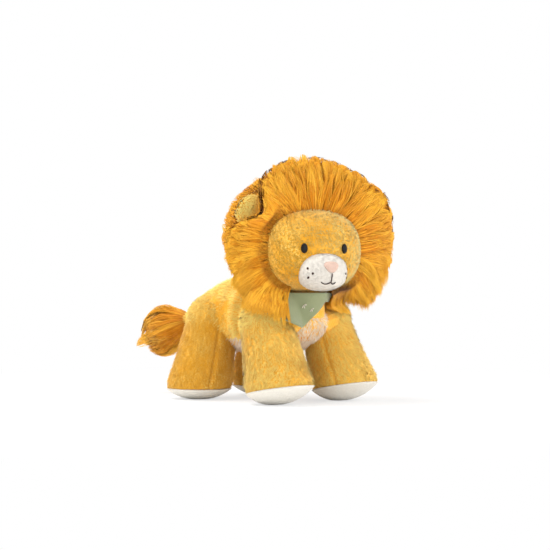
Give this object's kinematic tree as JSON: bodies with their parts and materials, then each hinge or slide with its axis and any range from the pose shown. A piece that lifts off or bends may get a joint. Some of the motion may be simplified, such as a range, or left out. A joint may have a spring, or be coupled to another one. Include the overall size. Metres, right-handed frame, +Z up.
{
  "type": "plush lion",
  "caption": "Standing stuffed lion with a two-tier pile mane, bell-shaped legs with sewn-in soles, a tufted tail and a neckerchief.",
  "frame": {"origin": "on the floor under the middle of the box round the whole part", "axes": "+Z up, nose towards -Y, the lion's left side at +X"},
  "size_m": [0.1678, 0.2914, 0.2326],
  "materials": {
    "plush_yellow": "short-pile plush",
    "plush_cream": "short-pile plush",
    "pile_white": "short smooth pile",
    "pile_orange": "long straight pile",
    "satin_pink": "satin stitch",
    "thread_dark": "embroidery thread",
    "cloth_green": "plain-woven cotton",
    "sole_white": "short smooth pile",
    "stuffing_white": "loose polyester fibre"
  },
  "bodies": {
    "torso": {"torso_skin": "plush_yellow", "belly_panel": "plush_cream", "torso_stuffing": "stuffing_white", "bandana": "cloth_green"},
    "neck": {"neck_stuffing": "stuffing_white"},
    "head": {"head_skin": "plush_yellow", "head_stuffing": "stuffing_white", "muzzle": "pile_white", "nose": "satin_pink", "mouth": "thread_dark", "eye_left": "thread_dark", "eye_right": "thread_dark", "mane_front": "pile_orange", "mane_back": "pile_orange", "whisker_dot_left_1": "thread_dark", "whisker_dot_left_2": "thread_dark", "whisker_dot_left_3": "thread_dark", "whisker_dot_right_1": "thread_dark", "whisker_dot_right_2": "thread_dark", "whisker_dot_right_3": "thread_dark"},
    "ear_left": {"ear_left": "plush_yellow"},
    "ear_right": {"ear_right": "plush_yellow"},
    "tail": {"tail_skin": "plush_yellow"},
    "tuft": {"tail_tuft": "pile_orange"},
    "leg_front_left": {"leg_front_left_skin": "plush_yellow", "leg_front_left_stuffing": "stuffing_white", "leg_front_left_sole": "sole_white"},
    "leg_front_right": {"leg_front_right_skin": "plush_yellow", "leg_front_right_stuffing": "stuffing_white", "leg_front_right_sole": "sole_white"},
    "leg_rear_left": {"leg_rear_left_skin": "plush_yellow", "leg_rear_left_stuffing": "stuffing_white", "leg_rear_left_sole": "sole_white"},
    "leg_rear_right": {"leg_rear_right_skin": "plush_yellow", "leg_rear_right_stuffing": "stuffing_white", "leg_rear_right_sole": "sole_white"}
  },
  "joints": [
    {"name": "head_turn", "type": "hinge", "parent": "torso", "child": "neck", "pos_m": [-0.0064, -0.07643, 0.103], "axis": [0, 0, 1], "range_deg": [-8, 52]},
    {"name": "head_nod", "type": "hinge", "parent": "neck", "child": "head", "pos_m": [-0.0064, -0.07643, 0.103], "axis": [0.9272, -0.3746, 0], "range_deg": [-7, 7]},
    {"name": "leg_front_left_swing", "type": "hinge", "parent": "torso", "child": "leg_front_left", "pos_m": [0.0336, -0.06943, 0.078], "axis": [1, 0, 0], "range_deg": [-15, 15]},
    {"name": "leg_front_right_swing", "type": "hinge", "parent": "torso", "child": "leg_front_right", "pos_m": [-0.0464, -0.06943, 0.078], "axis": [1, 0, 0], "range_deg": [-15, 15]},
    {"name": "leg_rear_left_swing", "type": "hinge", "parent": "torso", "child": "leg_rear_left", "pos_m": [0.0296, 0.01457, 0.079], "axis": [1, 0, 0], "range_deg": [-15, 15]},
    {"name": "leg_rear_right_swing", "type": "hinge", "parent": "torso", "child": "leg_rear_right", "pos_m": [-0.0424, 0.01457, 0.079], "axis": [1, 0, 0], "range_deg": [-15, 15]},
    {"name": "ear_left_fold", "type": "hinge", "parent": "head", "child": "ear_left", "pos_m": [0.03557, -0.09622, 0.17648], "axis": [0.5185, -0.2095, -0.829], "range_deg": [-8, 8]},
    {"name": "ear_right_fold", "type": "hinge", "parent": "head", "child": "ear_right", "pos_m": [-0.04686, -0.06292, 0.17648], "axis": [0.5185, -0.2095, 0.829], "range_deg": [-8, 8]},
    {"name": "tail_swing", "type": "hinge", "parent": "torso", "child": "tail", "pos_m": [-0.0064, 0.06506, 0.079], "axis": [0, 0, 1], "range_deg": [-30, 30]},
    {"name": "tuft_flop", "type": "hinge", "parent": "tail", "child": "tuft", "pos_m": [-0.01021, 0.08668, 0.07747], "axis": [0.9848, 0.1736, 0], "range_deg": [-18, 18]}
  ]
}
